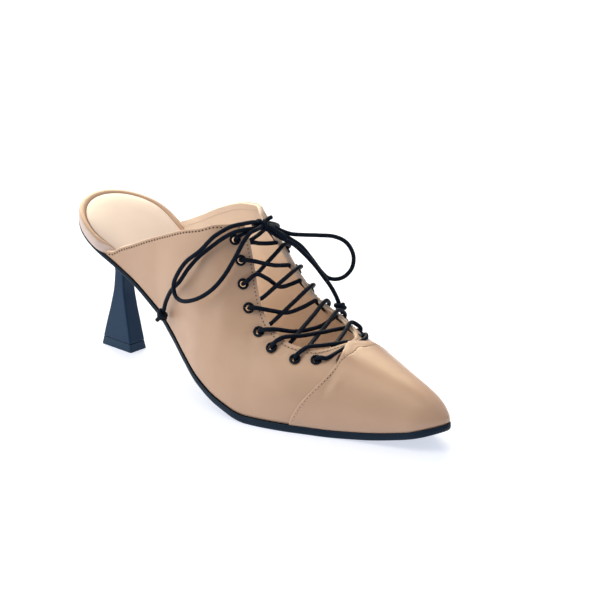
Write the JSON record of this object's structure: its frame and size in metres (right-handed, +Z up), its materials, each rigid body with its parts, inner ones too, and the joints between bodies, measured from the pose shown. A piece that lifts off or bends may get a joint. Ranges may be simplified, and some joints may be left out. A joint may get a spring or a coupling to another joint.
{
  "type": "mule",
  "caption": "Open-back lace-up mule with a pointed stepped toe cap, eyelet facings tied in a bow, thin sole and a waisted block heel.",
  "frame": {"origin": "on the floor under the middle of the shoe's box, the free bow left out", "axes": "+X toward the toe's tip, +Y toward the medial (inner) side, +Z up"},
  "size_m": [0.2548, 0.0886, 0.098],
  "materials": {
    "sole": "satin",
    "heel": "satin",
    "tread": "matte",
    "insole": "smooth",
    "sock": "matte",
    "upper": "smooth, satin",
    "eyelet": "enamel",
    "lace": "waxed"
  },
  "bodies": {
    "root": {"outsole": "sole", "heel": "heel", "heel_top_piece": "tread", "insole": "insole", "sock": "sock", "upper": "upper", "eyelet_lateral_1": "eyelet", "eyelet_lateral_2": "eyelet", "eyelet_lateral_3": "eyelet", "eyelet_lateral_4": "eyelet", "eyelet_lateral_5": "eyelet", "eyelet_lateral_6": "eyelet", "eyelet_lateral_7": "eyelet", "eyelet_lateral_8": "eyelet", "eyelet_medial_1": "eyelet", "eyelet_medial_2": "eyelet", "eyelet_medial_3": "eyelet", "eyelet_medial_4": "eyelet", "eyelet_medial_5": "eyelet", "eyelet_medial_6": "eyelet", "eyelet_medial_7": "eyelet", "eyelet_medial_8": "eyelet", "lace_crossing_1": "lace", "lace_crossing_2": "lace", "lace_crossing_3": "lace", "lace_crossing_4": "lace", "lace_crossing_5": "lace", "lace_crossing_6": "lace", "lace_crossing_7": "lace", "lace_top_bar": "lace", "bow_knot": "lace", "bow_loop_lateral": "lace", "bow_end_lateral": "lace", "bow_loop_medial": "lace", "bow_end_medial": "lace"}
  },
  "joints": []
}
